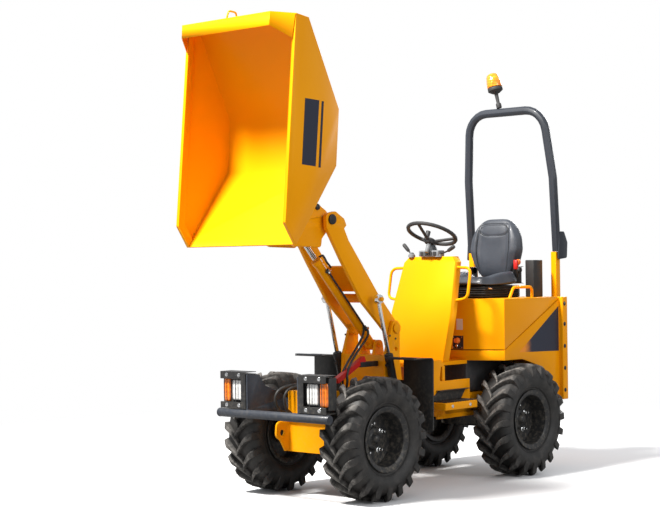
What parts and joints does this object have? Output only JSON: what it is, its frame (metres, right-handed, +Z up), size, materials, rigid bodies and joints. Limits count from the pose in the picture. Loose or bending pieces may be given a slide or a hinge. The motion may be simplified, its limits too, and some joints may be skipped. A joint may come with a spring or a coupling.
{
  "type": "site dumper",
  "caption": "Articulated high-tip site dumper with raised, forward-tipped skip on lift arms, rear seat under a folding roll hoop and lugged tyres.",
  "frame": {"origin": "middle of the machine's bounding box on the ground", "axes": "+X to the machine's left, across it; the machine faces -Y; +Z up"},
  "size_m": [0.99, 2.7, 2.6926],
  "materials": {
    "yellow_paint": "gloss golden yellow paint",
    "slate_paint": "satin slate grey paint",
    "black_paint": "satin black paint",
    "rim_paint": "semi-gloss black paint",
    "tyre_rubber": "matt dusty rubber",
    "chromed_rod": "polished hard chrome",
    "vinyl": "soft black vinyl",
    "amber_lens": "clear amber lens",
    "black_plastic": "fine-grained black plastic",
    "grey_plastic": "grey moulded plastic",
    "engine_metal": "dark painted casting"
  },
  "bodies": {
    "rear": {"rear_chassis": "yellow_paint", "rear_axle": "black_paint", "engine_block": "engine_metal", "rear_body": "yellow_paint", "rear_plate": "yellow_paint", "cowl": "yellow_paint", "dash_console": "grey_plastic", "step_left": "yellow_paint", "step_right": "yellow_paint"},
    "front": {"front_chassis": "yellow_paint", "front_axle": "black_paint", "mudguard_left": "black_paint", "mudguard_right": "black_paint", "bumper_bar": "slate_paint", "lamp_box_left": "black_paint", "lamp_box_right": "black_paint"},
    "arms": {"lift_arms": "yellow_paint"},
    "level_shaft": {"skip_pivot_shaft": "black_paint"},
    "skip": {"skip_tub": "yellow_paint", "skip_guard": "yellow_paint", "skip_bracket_left": "yellow_paint", "skip_bracket_right": "yellow_paint"},
    "lift_barrel_left": {"lift_ram_left_barrel": "black_paint"},
    "lift_rod_left": {"lift_ram_left_rod": "chromed_rod"},
    "lift_barrel_right": {"lift_ram_right_barrel": "black_paint"},
    "lift_rod_right": {"lift_ram_right_rod": "chromed_rod"},
    "tilt_barrel": {"tilt_ram_barrel": "yellow_paint"},
    "tilt_rod": {"tilt_ram_rod": "chromed_rod"},
    "cover": {"engine_cover": "yellow_paint", "seat_suspension": "black_paint", "seat_cushion": "vinyl", "seat_back": "vinyl", "rear_box": "black_paint"},
    "hoop": {"rops_hoop": "slate_paint", "beacon_base": "black_plastic", "beacon_dome": "amber_lens"},
    "steering_wheel": {"steering_wheel": "black_plastic"},
    "wheel_front_left": {"tyre_front_left": "tyre_rubber", "rim_front_left": "rim_paint"},
    "wheel_front_right": {"tyre_front_right": "tyre_rubber", "rim_front_right": "rim_paint"},
    "wheel_rear_left": {"tyre_rear_left": "tyre_rubber", "rim_rear_left": "rim_paint"},
    "wheel_rear_right": {"tyre_rear_right": "tyre_rubber", "rim_rear_right": "rim_paint"}
  },
  "joints": [
    {"name": "steering", "type": "hinge", "parent": "rear", "child": "front", "pos_m": [0, 0.0645, 0.49], "axis": [0, 0, 1], "range_deg": [-25, 25]},
    {"name": "lift_arms", "type": "hinge", "parent": "front", "child": "arms", "pos_m": [0, -0.1505, 0.94], "axis": [1, 0, 0], "range_deg": [0, 65.4]},
    {"name": "skip_levelling", "type": "hinge", "parent": "arms", "child": "level_shaft", "pos_m": [0, -0.6705, 1.57], "axis": [1, 0, 0], "range_deg": [-65.4, 0]},
    {"name": "skip_tilt", "type": "hinge", "parent": "level_shaft", "child": "skip", "pos_m": [0, -0.6705, 1.57], "axis": [1, 0, 0], "range_deg": [-85, 0]},
    {"name": "lift_barrel_swing_left", "type": "hinge", "parent": "front", "child": "lift_barrel_left", "pos_m": [0.2, -0.1685, 0.458], "axis": [1, 0, 0], "range_deg": [0, 15.5]},
    {"name": "lift_rod_slide_left", "type": "slide", "parent": "lift_barrel_left", "child": "lift_rod_left", "axis": [0, -0.2536, 0.9673], "range_m": [-0.241, 0]},
    {"name": "lift_barrel_swing_right", "type": "hinge", "parent": "front", "child": "lift_barrel_right", "pos_m": [-0.2, -0.1685, 0.458], "axis": [1, 0, 0], "range_deg": [0, 15.5]},
    {"name": "lift_rod_slide_right", "type": "slide", "parent": "lift_barrel_right", "child": "lift_rod_right", "axis": [0, -0.2536, 0.9673], "range_m": [-0.241, 0]},
    {"name": "tilt_barrel_swing", "type": "hinge", "parent": "front", "child": "tilt_barrel", "pos_m": [0, -0.1755, 0.84], "axis": [1, 0, 0], "range_deg": [0, 61.8]},
    {"name": "tilt_rod_slide", "type": "slide", "parent": "tilt_barrel", "child": "tilt_rod", "axis": [0, -0.6885, 0.7252], "range_m": [0, 0.174]},
    {"name": "engine_cover_hinge", "type": "hinge", "parent": "rear", "child": "cover", "pos_m": [0, 1.1725, 1.0895], "axis": [-1, 0, 0], "range_deg": [0, 38]},
    {"name": "rops_fold", "type": "hinge", "parent": "rear", "child": "hoop", "pos_m": [0, 1.3225, 1.382], "axis": [-1, 0, 0], "range_deg": [0, 100]},
    {"name": "steering_wheel_turn", "type": "hinge", "parent": "rear", "child": "steering_wheel", "pos_m": [0, 0.3885, 1.452], "axis": [0, 0.4226, 0.9063], "continuous": true},
    {"name": "spin_front_left", "type": "hinge", "parent": "front", "child": "wheel_front_left", "pos_m": [0.3717, -0.5955, 0.3455], "axis": [1, 0, 0], "continuous": true},
    {"name": "spin_front_right", "type": "hinge", "parent": "front", "child": "wheel_front_right", "pos_m": [-0.3717, -0.5955, 0.3455], "axis": [1, 0, 0], "continuous": true},
    {"name": "spin_rear_left", "type": "hinge", "parent": "rear", "child": "wheel_rear_left", "pos_m": [0.3717, 0.79, 0.3455], "axis": [1, 0, 0], "continuous": true},
    {"name": "spin_rear_right", "type": "hinge", "parent": "rear", "child": "wheel_rear_right", "pos_m": [-0.3717, 0.79, 0.3455], "axis": [1, 0, 0], "continuous": true}
  ],
  "couplings": [
    {"joint": "skip_levelling", "follows": "lift_arms", "ratio": -1},
    {"joint": "lift_barrel_swing_left", "follows": "lift_arms", "ratio": 0.23224},
    {"joint": "lift_rod_slide_left", "follows": "lift_arms", "m_per_rad": -0.20849},
    {"joint": "lift_barrel_swing_right", "follows": "lift_arms", "ratio": 0.23224},
    {"joint": "lift_rod_slide_right", "follows": "lift_arms", "m_per_rad": -0.20849},
    {"joint": "tilt_barrel_swing", "follows": "lift_arms", "ratio": 0.93962},
    {"joint": "tilt_rod_slide", "follows": "skip_tilt", "m_per_rad": -0.11557}
  ]
}
